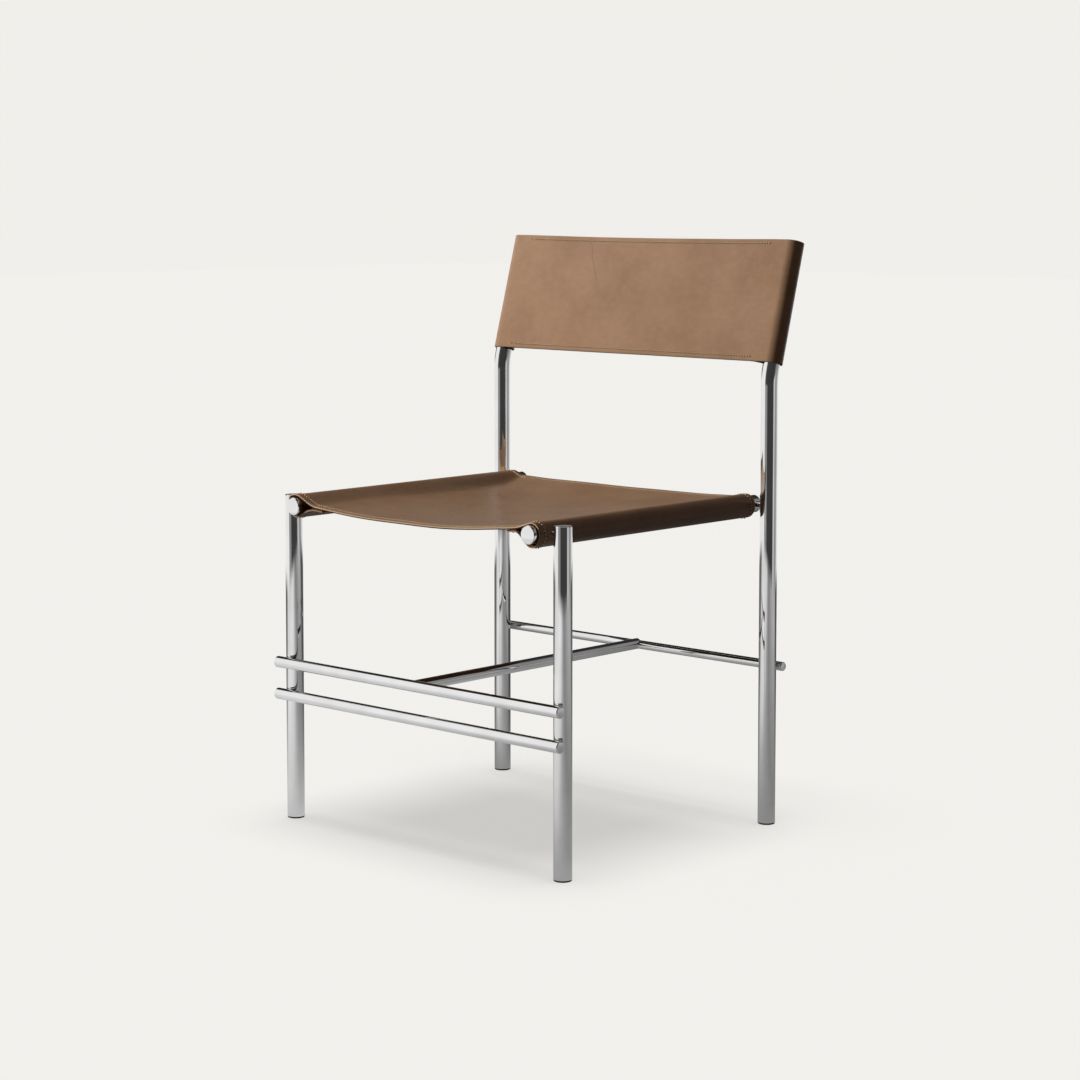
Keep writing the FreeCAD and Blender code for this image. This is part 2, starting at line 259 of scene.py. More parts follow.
def through(at, places, values):
    """Natural cubic spline through the values: its bends at the inner places solve the
    three-term system that makes slope and bend run on from one stretch to the next."""
    gap, slope = np.diff(places), np.diff(values) / np.diff(places)
    system, right = np.eye(len(places)), np.zeros(len(places))
    row = np.arange(1, len(places) - 1)
    system[row, row - 1], system[row, row + 1] = gap[:-1], gap[1:]
    system[row, row] = 2 * (gap[:-1] + gap[1:])
    right[row] = 6 * np.diff(slope)
    bend = np.linalg.solve(system, right)
    i = np.clip(np.searchsorted(places, at) - 1, 0, len(gap) - 1)
    before, after = places[i + 1] - at, at - places[i]
    cubic = (bend[i] * before**3 + bend[i + 1] * after**3) / (6 * gap[i])
    start = (values[i] / gap[i] - bend[i] * gap[i] / 6) * before
    return cubic + start + (values[i + 1] / gap[i] - bend[i + 1] * gap[i] / 6) * after


def ease(value, start, end):
    """0 before start and 1 after end, with a smooth step between: 3t^2 - 2t^3."""
    t = np.clip((value - start) / (end - start), 0, 1)
    return t * t * (3 - 2 * t)


def join_up(start, start_way, end, end_way, steps):
    """Cubic with given ends and directions (Hermite): both directions are scaled by the
    distance between the ends. Points are (step, station, 2) and leave out the start."""
    t = np.linspace(0, 1, steps + 1)[1:, None, None]
    reach = np.linalg.norm(end - start, axis=-1, keepdims=True)
    a, b = start_way * reach, end_way * reach
    return (
        (2 * t**3 - 3 * t**2 + 1) * start
        + (t**3 - 2 * t**2 + t) * a
        + (3 * t**2 - 2 * t**3) * end
        + (t**3 - t**2) * b
    )


def unit(vectors):
    """The vectors scaled to length 1."""
    return vectors / np.linalg.norm(vectors, axis=-1, keepdims=True)


def differences(grid, axis, loop=False):
    """Difference of each grid point's two neighbours along an axis, round it if it loops."""
    if loop:
        return np.roll(grid, -1, axis) - np.roll(grid, 1, axis)
    return np.gradient(grid, axis=axis)


def run_lengths(points):
    """Distance from the first of the points to each, along the line through them."""
    steps = np.linalg.norm(np.diff(points, axis=0), axis=-1)
    return np.concatenate([[0], np.cumsum(steps)])


def edge_rows(start, end):
    """Places along one side of a sheet: close together over the rounding of either cut edge
    and evenly spaced between."""
    count = int(round((end - start - 2 * ROUNDING) / SPACING))
    inner = np.linspace(start + ROUNDING, end - ROUNDING, count + 1)[1:-1]
    return np.concatenate([start + EDGE_ROWS, inner, end - EDGE_ROWS[::-1]])


def new_mesh(name, points, faces, corner_uv=None, smooth=True, **marks):
    """A mesh object from arrays, with an optional UV map and named values on its points."""
    mesh = bpy.data.meshes.new(name)
    mesh.from_pydata(points.tolist(), [], faces.tolist())
    if corner_uv is not None:
        uv = mesh.uv_layers.new(name="flat_cut")
        uv.data.foreach_set("uv", corner_uv.astype(np.float32).ravel())
    for mark, values in marks.items():
        attribute = mesh.attributes.new(mark, "FLOAT", "POINT")
        attribute.data.foreach_set("value", values.astype(np.float32).ravel())
    if smooth:
        mesh.shade_smooth()
    mesh.update()
    obj = bpy.data.objects.new(name, mesh)
    bpy.context.scene.collection.objects.link(obj)
    return obj


def at_place(grid, run, place):
    """The line of a grid that lies at a place along its first axis, between two of its lines."""
    after = np.searchsorted(run, place)
    share = (place - run[after - 1]) / (run[after] - run[after - 1])
    return grid[after - 1] * (1 - share) + grid[after] * share


def outwards(grid, loop=False):
    """Unit directions out of a surface's outer face."""
    return unit(np.cross(differences(grid, 0, loop), differences(grid, 1)))


def cells(grid):
    """The four corners of each cell of a grid, counter-clockwise seen from outside."""
    corners = (grid[:-1, :-1], grid[1:, :-1], grid[1:, 1:], grid[:-1, 1:])
    return np.stack(corners, -1).reshape(-1, 4)


def leather_sheet(name, outer, edge, flat, thickness, loop=False):
    """A closed sheet of leather from its outer face, a grid of points, with the distance of
    each from the nearest cut edge and its (places across, places along) on the flat cut.

    The middle surface lies half the thickness inside the outer face. Both faces are the
    middle surface plus or minus its normal times h, where h is half the thickness times
    sqrt(1 - (1 - d / rounding)^2) within the rounding of a cut edge d away, so that the faces
    meet along the edge in half an ellipse. The points on the edge are shared. Marks on the
    points say how raw the leather is, how low in its thickness, and whether it is flesh side.
    """
    rows, columns = edge.shape
    normal = outwards(outer, loop)
    middle = outer - normal * thickness / 2
    near = 1 - np.clip(edge / ROUNDING, 0, 1)
    half = (thickness / 2 * np.sqrt(1 - near**2))[..., None]
    top = np.arange(rows * columns).reshape(rows, columns)
    inside = edge.ravel() > 0
    below = top.ravel().copy()
    below[inside] = rows * columns + np.arange(inside.sum())
    below = below.reshape(rows, columns)
    lower = (middle - normal * half).reshape(-1, 3)[inside]
    points = np.concatenate([(middle + normal * half).reshape(-1, 3), lower])

    if loop:
        top, below = (np.concatenate([grid, grid[:1]]) for grid in (top, below))
    faces = np.concatenate([cells(top), cells(below)[:, ::-1]])
    u, v = flat
    u = np.broadcast_to(u[:, None], (len(u), columns))
    v = np.broadcast_to(v[None, :], u.shape)
    flat_cells = np.stack([cells(u), cells(v)], -1)
    uv = np.concatenate([flat_cells, flat_cells[:, ::-1]])
    raw = 1 - np.clip(edge.ravel() / (0.8 * ROUNDING), 0, 1)
    marks = {
        "raw": np.concatenate([raw, raw[inside]]),
        "lower": np.concatenate([np.where(inside, 0.0, 0.5), np.ones(inside.sum())]),
        "flesh": np.concatenate([np.zeros(rows * columns), np.ones(inside.sum())]),
    }
    return new_mesh(name, points, faces, uv, **marks)


def sewing(name, rows, sizes):
    """Stitches along rows of sewing, given as (points, outward directions, places) down each
    row. The holes lie at whole numbers of pitches and the stitches midway between them.

    A stitch is a six-sided thread carried along a shallow arch: at share t from -1 to 1 of its
    length it rises by 1 - t^2 above the leather and it narrows and sinks in at its two holes.
    """
    centre, way, up = [], [], []
    for points, outward, run in rows:
        first, last = np.ceil(run[0] / sizes.pitch), np.floor(run[-1] / sizes.pitch)
        place = (np.arange(first, last) + 0.5) * sizes.pitch
        pick = [np.interp(place, run, points[:, k]) for k in range(3)]
        lift = [np.interp(place, run, outward[:, k]) for k in range(3)]
        ahead = [np.interp(place + 0.2 * MM, run, points[:, k]) for k in range(3)]
        centre.append(np.stack(pick, -1))
        up.append(unit(np.stack(lift, -1)))
        way.append(unit(np.stack(ahead, -1) - centre[-1]))
    centre, way, up = (np.concatenate(x)[:, None, None] for x in (centre, way, up))
    across = np.cross(way, up)
    share = np.array([-1, -0.72, 0, 0.72, 1])[:, None, None]
    turn = (np.arange(6) * pi / 3)[None, :, None]
    radius = sizes.thread / 2
    width = radius * (1.05 - 0.5 * share**4)
    height = radius * (0.9 * (1 - share**2) - 0.7 * share**4 + 0.1)
    points = (
        centre
        + way * share * (0.36 * sizes.pitch)
        + across * (width * np.cos(turn))
        + up * (height + 0.8 * width * np.sin(turn))
    )
    count = len(points)
    ring = np.arange(30).reshape(5, 6)
    step = np.roll(ring, -1, 1)
    sides = np.stack([ring[:-1], ring[1:], step[1:], step[:-1]], -1).reshape(-1, 4)
    ends = np.array([[0, 1, 2, 3], [0, 3, 4, 5], [27, 26, 25, 24], [29, 28, 27, 24]])
    faces = np.concatenate([sides, ends])
    faces = (faces[None] + 30 * np.arange(count)[:, None, None]).reshape(-1, 4)
    return new_mesh(name, points.reshape(-1, 3), faces)


# Shapes of the leather


def sheet_height(sizes, x, y):
    """Height of the seat's top between the creases: the middle's height plus the crease's
    rise above it times (distance from the middle / distance of the crease) to a power, which
    is higher on the far side, where the sheet breaks more sharply beside the rail."""
    middle = through(y, SEAT_DEPTHS, MIDDLE_HEIGHTS)
    height = 0
    for side, power in ((FAR, 2.7), (NEAR, 2.1)):
        crease_z = through(y, SEAT_DEPTHS, CREASE_HEIGHTS[side])
        crease_x = sizes.rail_x - through(y, SEAT_DEPTHS, CREASE_INBOARD[side])
        rise = (crease_z - middle) * (np.abs(x) / crease_x) ** power
        height = height + np.where(side * x > 0, rise, 0)
    return middle + height


def seat_half(sizes, side, y):
    """One half of the seat's section at each depth, from the free end of its flap to the
    middle: (row, depth, 2) of distance from the middle and height.

    The flap runs beneath the sheet to the crease and curves down to the sleeve, the sleeve
    goes round the rail on a circle, and from its top the leather curves down to the crease
    and on into the sheet. Both sleeves hang a little away from the lower half of their rails,
    and the front end of the far one stands off its rail by a bell over the angle round it.
    """
    beneath = 2 * sizes.thickness + 0.3 * MM
    crease = sizes.rail_x - through(y, SEAT_DEPTHS, CREASE_INBOARD[side])
    loosened = 2.4 * MM if side == NEAR else 0.9 * MM
    leaves_low, leaves_high = np.radians([30, 22] if side == NEAR else [33, 24])

    def on_sheet(x, drop=0):
        return np.stack([x, sheet_height(sizes, side * x, y) - drop], -1)

    def heading(x):
        """Direction outwards along the sheet at a distance from the middle."""
        return unit(on_sheet(x + 0.5 * MM) - on_sheet(x - 0.5 * MM))

    run = np.concatenate([EDGE_ROWS, np.linspace(ROUNDING, sizes.flap - 2 * MM, 6)[1:]])
    flap = np.stack([on_sheet(crease - sizes.flap + r, beneath) for r in run])
    turn = np.linspace(-leaves_low, pi + leaves_high, 34)[:, None]
    radius = sizes.sleeve + loosened * np.where(np.abs(turn) < pi / 2, np.cos(turn) ** 2, 0)
    if side == FAR:
        bell = np.exp(-(((turn - radians(128)) / 0.6) ** 2))
        radius = radius + 3.2 * MM * bell * (1 - ease(y, sizes.front, sizes.front + 22 * MM))
    lift = 0.7 * MM if side == FAR else 0
    sleeve = np.stack(
        [
            sizes.rail_x + radius * np.sin(turn) + 0 * y,
            sizes.rail_z + lift * (1 - np.cos(turn)) / 2 - radius * np.cos(turn) + 0 * y,
        ],
        -1,
    )
    low = join_up(flap[-1], heading(crease), sleeve[0], unit(sleeve[1] - sleeve[0]), 12)
    upwards = unit(sleeve[-1] - sleeve[-2])
    high = join_up(sleeve[-1], upwards, on_sheet(crease), -heading(crease), 16)
    sheet = np.stack([on_sheet(crease * share) for share in np.linspace(1, 0, 49)[1:]])
    return np.concatenate([flap, low, sleeve[1:], high, sheet])


def seat_surface(sizes, y):
    """The seat's outer face at the given depths, as a grid (row, depth, 3): the far half from
    its flap to the middle, then the near half from the middle to its flap. Hand-worked
    leather isn't quite even, so long low waves of a few tenths of a millimetre run over it."""
    far, near = (seat_half(sizes, side, y) for side in (FAR, NEAR))
    section = np.concatenate([far * (-1, 1), near[-2::-1]])
    x, z = section[..., 0], section[..., 1]
    depth = np.broadcast_to(y, x.shape)
    open_sheet = ease(np.abs(x), 0.2, 0.16)
    wave = np.sin(38 * x + 21 * depth + 1.0) + 0.7 * np.sin(61 * depth - 24 * x + 2.2)
    z = z + 0.28 * MM * open_sheet * wave
    return np.stack([x, depth, z], -1)


def back_section(sizes):
    """The back's section across the uprights, a closed loop of (distance across, distance in
    front of the uprights' axes), with the front layer first, from the far seam to the near.

    The front layer is flat and touches the front of both sleeves. A sleeve goes round its
    upright on a circle, and the back layer leaves it in a cubic to the seam of the pocket and
    lies against the front layer between the seams.
    """
    front = sizes.sleeve
    behind = front - 2 * sizes.thickness - 0.1 * MM
    leaves = radians(38)
    turn = np.linspace(0, pi + leaves, 34)[1:, None]
    ring = np.stack([np.sin(turn), np.cos(turn)], -1) * sizes.sleeve
    near_ring = (ring + (sizes.upright_x, 0))[:, 0]
    seam = np.array([[sizes.upright_x - sizes.seam - 4 * MM, behind]])
    heading = unit(near_ring[-1] - near_ring[-2])
    pocket = join_up(near_ring[-1:], heading, seam, np.array([[-1.0, 0.0]]), 12)[:, 0]
    flat = int(2 * seam[0, 0] / SPACING)
    across = np.linspace(-sizes.upright_x, sizes.upright_x, int(2 * sizes.upright_x / SPACING))
    face = np.stack([across, np.full_like(across, front)], -1)
    rear = np.stack([np.linspace(seam[0, 0], -seam[0, 0], flat), np.full(flat, behind)], -1)
    near_half = np.concatenate([near_ring, pocket])
    far_half = near_half[::-1] * (-1, 1)
    return np.concatenate([face, near_half, rear[1:-1], far_half])


def back_surface(sizes, section, along):
    """The back's outer face as a grid (round the section, along the uprights, 3): the section
    carried up the uprights from their bend and leant back with them. Low waves of a quarter
    of a millimetre run over the sheet, and its top edge dips between the uprights."""
    x, ahead = section[:, :1], section[:, 1:]
    share = np.clip((along - sizes.bottom) / (sizes.top - sizes.bottom), 0, 1)
    span = np.clip(1 - (x / (sizes.upright_x - sizes.seam)) ** 2, 0, 1)
    up = along - sizes.dip * span * ease(share, 0.75, 1)
    uneven = np.sin(17 * x + 31 * along) + 0.6 * np.sin(43 * x - 22 * along + 1.3)
    ahead = ahead + 0.25 * MM * span * uneven
    lean_cos, lean_sin = cos(sizes.lean), sin(sizes.lean)
    y = sizes.upright_y + up * lean_sin - ahead * lean_cos
    z = sizes.bend_z + up * lean_cos + ahead * lean_sin
    return np.stack([x + 0 * up, y, z], -1)


# Materials


def saddle_leather(name, finishes, pitch, rows, seams=(), reach=None, vein=None):
    """Vegetable-tanned saddle leather, drum-dyed and waxed. It gives the eye a smooth grain in
    a soft mottled patina with fine rubbed specks, pale raw edges, a napped underside, and a
    groove with thread holes along each row of stitching. Rows and seams are places across and
    along the flat cut, sewn within a reach of the middle if one is given, and a vein is
    (place at the top, height of the top, slope)."""
    material, tree = new_material(name)
    flat = add(tree, "UVMap", uv_map="flat_cut")
    body = add(tree, "TexCoord").outputs["Object"]
    raw = add(tree, "Attribute", attribute_name="raw").outputs["Fac"]
    lower = add(tree, "Attribute", attribute_name="lower").outputs["Fac"]
    flesh = add(tree, "Attribute", attribute_name="flesh").outputs["Fac"]
    dark = linear("#3B2718")

    # clouds of 70 mm give the patina
    clouds = add(tree, "TexNoise", {"Vector": body, "Scale": 1 / (70 * MM), "Detail": 3.0})
    clouds = add(
        tree, "MapRange", {"Value": clouds, "From Min": 0.35, "From Max": 0.65, "To Max": 0.5}
    )
    base = add(tree, "Mix", {0: clouds, 6: finishes.hide, 7: finishes.patina}, data_type="RGBA")

    # over them come lighter blotches of 14 mm, rub marks along the hide, 5 mm wide and three
    # times as long, the pores and grain of 0.6 mm, drawn at 1.3 mm so that they show, and a
    # pale speck here and there where the wax has been knocked off
    blotches = add(
        tree, "TexNoise", {"Vector": body, "Scale": 1 / (14 * MM), "Detail": 6.0, "Roughness": 0.6}
    )
    drawn = add(tree, "Mapping", {"Vector": flat, "Scale": (0.33, 1.0, 1.0)})
    marks = add(tree, "TexNoise", {"Vector": drawn, "Scale": 1 / (5 * MM), "Detail": 5.0})
    grain = add(
        tree,
        "TexNoise",
        {"Vector": flat, "Scale": 1 / (1.3 * MM), "Detail": 3.0, "Roughness": 0.65},
    )
    specks = add(
        tree, "TexNoise", {"Vector": flat, "Scale": 1 / (2.4 * MM), "Detail": 2.0, "Roughness": 0.7}
    )
    for pattern, start, end, most, tint in (
        (blotches, 0.42, 0.68, 0.36, finishes.rubbed),
        (marks, 0.45, 0.75, 0.22, finishes.patina),
        (grain, 0.35, 0.7, 0.2, dark),
        (specks, 0.66, 0.74, 0.4, finishes.cut_edge),
    ):
        share = add(
            tree, "MapRange", {"Value": pattern, "From Min": start, "From Max": end, "To Max": most}
        )
        base = add(tree, "Mix", {0: share, 6: base, 7: tint}, data_type="RGBA")

    # along the stitching a groove 2 mm wide, and holes of 1 mm drawn 2 mm wide to show
    parts = add(tree, "SeparateXYZ", {"Vector": flat})
    groove, holes = 0.0, 0.0
    for across, along, places in (("Y", "X", rows), ("X", "Y", seams)):
        if not places:
            continue
        turns = add(
            tree, "Math", {0: parts.outputs[along], 1: 1 / pitch, 2: 0.5}, operation="MULTIPLY_ADD"
        )
        turns = add(tree, "Math", {0: turns}, operation="FRACT")
        beside = add(tree, "Math", {0: turns, 1: pitch, 2: -pitch / 2}, operation="MULTIPLY_ADD")
        for place in places:
            away = add(tree, "Math", {0: parts.outputs[across], 1: place}, operation="SUBTRACT")
            from_hole = add(tree, "CombineXYZ", {"X": beside, "Y": away})
            from_hole = add(tree, "VectorMath", {0: from_hole}, operation="LENGTH").outputs["Value"]
            hole = add(
                tree, "MapRange", {"Value": from_hole, "From Min": 1.15 * MM, "From Max": 0.75 * MM}
            )
            holes = add(tree, "Math", {0: holes, 1: hole}, operation="MAXIMUM")
            away = add(tree, "Math", {0: away}, operation="ABSOLUTE")
            line = add(
                tree, "MapRange", {"Value": away, "From Min": 1.4 * MM, "From Max": 0.6 * MM}
            )
            groove = add(tree, "Math", {0: groove, 1: line}, operation="MAXIMUM")
    if reach:
        aside = add(tree, "SeparateXYZ", {"Vector": body}).outputs["X"]
        aside = add(tree, "Math", {0: aside}, operation="ABSOLUTE")
        sewn = add(tree, "Math", {0: aside, 1: reach}, operation="LESS_THAN")
        holes = add(tree, "Math", {0: holes, 1: sewn}, operation="MULTIPLY")
        groove = add(tree, "Math", {0: groove, 1: sewn}, operation="MULTIPLY")
    base = add(tree, "Mix", {0: holes, 6: base, 7: linear("#1C110A")}, data_type="RGBA")

    # a vein: a fine dark line that wanders down from the top edge and fades out
    if vein:
        place, top, slope = vein
        wander = add(tree, "TexNoise", {"Vector": flat, "Scale": 1 / (22 * MM), "Detail": 4.0})
        wander = add(
            tree,
            "Math",
            {0: wander, 1: 12 * MM, 2: -place - slope * top - 6 * MM},
            operation="MULTIPLY_ADD",
        )
        off = add(
            tree, "Math", {0: parts.outputs["Y"], 1: slope, 2: wander}, operation="MULTIPLY_ADD"
        )
        off = add(tree, "Math", {0: off, 1: parts.outputs["X"]}, operation="ADD")
        off = add(tree, "Math", {0: off}, operation="ABSOLUTE")
        line = add(
            tree,
            "MapRange",
            {"Value": off, "From Min": 1.1 * MM, "From Max": 0.3 * MM, "To Max": 0.4},
        )
        fade = add(
            tree,
            "MapRange",
            {"Value": parts.outputs["Y"], "From Min": 0.5 * top, "From Max": 0.65 * top},
        )
        share = add(tree, "Math", {0: line, 1: fade}, operation="MULTIPLY")
        base = add(tree, "Mix", {0: share, 6: base, 7: dark}, data_type="RGBA")

    fibres = add(tree, "TexNoise", {"Vector": body, "Scale": 1 / (0.9 * MM)})
    nap = add(tree, "Mix", {0: fibres, 6: finishes.flesh, 7: linear("#4A3320")}, data_type="RGBA")
    base = add(tree, "Mix", {0: flesh, 6: base, 7: nap}, data_type="RGBA")

    # the cut shows pale fibre in its upper half, and painted shade darkens its lower half
    share = add(
        tree, "MapRange", {"Value": fibres, "From Min": 0.4, "From Max": 0.7, "To Max": 0.4}
    )
    cut = add(tree, "Mix", {0: share, 6: finishes.cut_edge, 7: linear("#8A6A50")}, data_type="RGBA")
    # painted shade: the lower half of the cut edge, which faces down, is mixed towards dark brown
    share = add(tree, "MapRange", {"Value": lower, "From Min": 0.42, "From Max": 0.6})
    cut = add(tree, "Mix", {0: share, 6: cut, 7: linear("#3A281B")}, data_type="RGBA")
    share = add(tree, "MapRange", {"Value": raw, "From Min": 0.35, "From Max": 0.7})
    base = add(tree, "Mix", {0: share, 6: base, 7: cut}, data_type="RGBA")

    worn = add(
        tree,
        "MapRange",
        {"Value": blotches, "From Min": 0.42, "From Max": 0.68, "To Min": 0.29, "To Max": 0.38},
    )
    worn = add(tree, "Math", {0: worn, 1: raw}, operation="ADD")
    rough = add(tree, "Math", {0: worn, 1: flesh}, operation="MAXIMUM")
    relief = add(tree, "Math", {0: groove, 1: -1.2, 2: grain}, operation="MULTIPLY_ADD")
    bump = add(tree, "Bump", {"Strength": 0.35, "Distance": 0.25 * MM, "Height": relief})
    shader = add(
        tree,
        "BsdfPrincipled",
        {
            "Base Color": base,
            "Roughness": rough,
            "Normal": bump,
            "IOR": 1.45,
            "Specular IOR Level": 0.25,
        },
    )
    add(tree, "OutputMaterial", {"Surface": shader})
    return material


def linen_thread(finishes):
    """Waxed linen thread, laid from three plies: the twist shows as fine slanting shade, in
    bands 2.1 mm apart along each axis, coarser than the real lay so that they show."""
    material, tree = new_material("waxed_linen_thread")
    body = add(tree, "TexCoord").outputs["Object"]
    twist = add(
        tree,
        "TexWave",
        {"Vector": body, "Scale": 300.0, "Distortion": 2.0},
        bands_direction="DIAGONAL",
    ).outputs["Fac"]
    share = add(tree, "Math", {0: twist, 1: 0.4}, operation="MULTIPLY")
    tint = add(tree, "Mix", {0: share, 6: finishes.thread, 7: linear("#8A6848")}, data_type="RGBA")
    bump = add(tree, "Bump", {"Strength": 0.4, "Distance": 0.1 * MM, "Height": twist})
    shader = add(tree, "BsdfPrincipled", {"Base Color": tint, "Roughness": 0.6, "Normal": bump})
    add(tree, "OutputMaterial", {"Surface": shader})
    return material


def chromium_plate(name, finishes, haze, ripple, depth):
    """Bright chromium plate on polished steel tube. It gives the eye a mirror whose faint haze
    and long polishing waves soften a reflection here and there; over a weld the waves are the
    ripples of the bead. The ripple is a length and the depth a strength."""
    material, tree = new_material(name)
    body = add(tree, "TexCoord").outputs["Object"]
    polish = add(tree, "TexNoise", {"Vector": body, "Scale": 1 / (45 * MM), "Detail": 3.0})
    share = add(tree, "MapRange", {"Value": polish, "From Min": 0.3, "From Max": 0.7})
    tint = add(tree, "Mix", {0: share, 6: finishes.chrome, 7: linear("#E4E4E3")}, data_type="RGBA")
    hazy = add(tree, "TexNoise", {"Vector": body, "Scale": 1 / (18 * MM), "Detail": 5.0})
    rough = add(
        tree,
        "MapRange",
        {
            "Value": hazy,
            "From Min": 0.3,
            "From Max": 0.7,
            "To Min": 0.5 * haze,
            "To Max": 1.5 * haze,
        },
    )
    waves = add(tree, "TexNoise", {"Vector": body, "Scale": 1 / ripple})
    bump = add(tree, "Bump", {"Strength": depth, "Distance": 0.3 * MM, "Height": waves})
    shader = add(
        tree,
        "BsdfPrincipled",
        {"Base Color": tint, "Metallic": 1.0, "Roughness": rough, "Normal": bump},
    )
    add(tree, "OutputMaterial", {"Surface": shader})
    return material


def zinc_plate(finishes):
    """Zinc-plated screw steel: turned, so a duller grey with fine rings."""
    material, tree = new_material("zinc_plated_steel")
    body = add(tree, "TexCoord").outputs["Object"]
    rings = add(tree, "TexNoise", {"Vector": body, "Scale": 1 / (1.2 * MM), "Detail": 3.0})
    tint = add(tree, "Mix", {0: rings, 6: finishes.zinc, 7: linear("#8E9093")}, data_type="RGBA")
    rough = add(tree, "MapRange", {"Value": rings, "To Min": 0.25, "To Max": 0.5})
    shader = add(tree, "BsdfPrincipled", {"Base Color": tint, "Metallic": 1.0, "Roughness": rough})
    add(tree, "OutputMaterial", {"Surface": shader})
    return material


def moulded_rubber(finishes):
    """Moulded black rubber: matt, with a fine dusty grain where it meets the floor."""
    material, tree = new_material("moulded_rubber")
    body = add(tree, "TexCoord").outputs["Object"]
    grain = add(tree, "TexNoise", {"Vector": body, "Scale": 1 / (0.8 * MM), "Detail": 3.0})
    dust = add(tree, "TexNoise", {"Vector": body, "Scale": 1 / (9 * MM), "Detail": 3.0})
    share = add(
        tree, "MapRange", {"Value": dust, "From Min": 0.45, "From Max": 0.75, "To Max": 0.4}
    )
    tint = add(tree, "Mix", {0: share, 6: finishes.rubber, 7: linear("#3A3733")}, data_type="RGBA")
    bump = add(tree, "Bump", {"Strength": 0.3, "Distance": 0.1 * MM, "Height": grain})
    shader = add(tree, "BsdfPrincipled", {"Base Color": tint, "Roughness": 0.8, "Normal": bump})
    add(tree, "OutputMaterial", {"Surface": shader})
    return material


def dress(material, *starts):
    """Gives the material to each of the frame's nodes whose name starts with one of these."""
    for name, obj in frame["nodes"].items():
        if name.startswith(starts):
            obj.data.materials.clear()
            obj.data.materials.append(material)


# Operators


class CHAIR_OT_metal(bpy.types.Operator):
    """Finish the tubes, caps, welds, screws and glides of the frame"""

    bl_idname = "chair.metal"
    bl_label = "Frame Finishes"

    def execute(self, context):
        finishes = context.scene.chair_finishes
        tubes = chromium_plate("polished_chromium_plate", finishes, 0.03, 30 * MM, 0.03)
        welds = chromium_plate("plated_weld", finishes, 0.14, 2 * MM, 0.3)
        dress(tubes, "front_", "rear_", "seat_rail", "rail_", "centre_bar")
        dress(welds, "front_bar_upper_welds", "front_bar_lower_welds", "rear_bar_welds")
        dress(zinc_plate(finishes), "rail_screws")
        dress(moulded_rubber(finishes), "foot_glide")
        return {"FINISHED"}


class CHAIR_OT_seat(bpy.types.Operator):
    """Make the sling seat: one sheet of leather sleeved over both rails and sewn beneath"""

    bl_idname = "chair.seat"
    bl_label = "Seat"

    def execute(self, context):
        sizes, sew = context.scene.chair_seat, context.scene.chair_sewing
        y = edge_rows(sizes.front, sizes.rear)
        grid = seat_surface(sizes, y)
        middle = len(y) // 2
        run = run_lengths(grid[:, middle])
        depth = y - sizes.front
        ends = np.minimum(run, run[-1] - run)[:, None]
        edge = np.minimum(ends, np.minimum(depth, depth[-1] - depth)[None, :])
        edge[[0, -1]], edge[:, [0, -1]] = 0, 0
        rows = (sew.seat_margin, depth[-1] - sew.seat_margin)
        seams = (sew.flap_margin, run[-1] - sew.flap_margin)
        seat = leather_sheet("seat_sling", grid, edge, (run, depth), sizes.thickness)
        seat.data.materials.append(
            saddle_leather(
                "waxed_saddle_leather", context.scene.chair_finishes, sew.pitch, rows, seams
            )
        )
        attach(seat, "root")
        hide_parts("seat_leather")

        lines = []
        for place in (sizes.front + sew.seat_margin, sizes.rear - sew.seat_margin):
            strip = seat_surface(sizes, place + np.array([-1, 0, 1]) * MM)
            lines.append((strip[:, 1], outwards(strip)[:, 1], run))
        for place in seams:
            seam = at_place(grid, run, place), at_place(outwards(grid), run, place)
            lines.append((*(part[2:-2] for part in seam), depth[2:-2]))
        thread = sewing("seat_sewing", lines, sew)
        thread.data.materials.append(linen_thread(context.scene.chair_finishes))
        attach(thread, "root")
        return {"FINISHED"}


class CHAIR_OT_back(bpy.types.Operator):
    """Make the sling back: two sewn layers of leather that part round the uprights"""

    bl_idname = "chair.back"
    bl_label = "Back"

    def execute(self, context):
        sizes, sew = context.scene.chair_back, context.scene.chair_sewing
        along = edge_rows(sizes.bottom, sizes.top)
        section = back_section(sizes)
        grid = back_surface(sizes, section, along)
        run = run_lengths(np.concatenate([section, section[:1]]))
        height = along - sizes.bottom
        edge = np.minimum(height, height[-1] - height)
        edge = np.repeat(edge[None, :], len(section), 0)
        rows = (sew.margin, height[-1] - sew.margin)
        back = leather_sheet("back_sling", grid, edge, (run, height), sizes.thickness, loop=True)
        back.data.materials.append(
            saddle_leather(
                "waxed_back_leather",
                context.scene.chair_finishes,
                sew.pitch,
                rows,
                reach=sizes.upright_x - sizes.seam,
                vein=(sizes.vein, float(height[-1]), 0.42),
            )
        )
        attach(back, "root")
        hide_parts("back_leather")

        lines = []
        between = np.abs(section[:, 0]) < sizes.upright_x - sizes.seam
        for place in (sizes.bottom + sew.margin, sizes.top - sew.margin):
            strip = back_surface(sizes, section, place + np.array([-1, 0, 1]) * MM)
            outward = outwards(strip, True)[:, 1]
            for layer in (section[:, 1] > sizes.sleeve - MM, section[:, 1] < sizes.sleeve - MM):
                keep = between & layer
                lines.append((strip[keep][:, 1], outward[keep], run[:-1][keep]))
        thread = sewing("back_sewing", lines, sew)
        thread.data.materials.append(linen_thread(context.scene.chair_finishes))
        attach(thread, "root")
        return {"FINISHED"}


def ring_stops(*stops):
    """Stops of a ramp that runs round the chair, from (degrees from the camera's side, value)."""
    return [((angle + 180) / 360, value) for angle, value in stops]


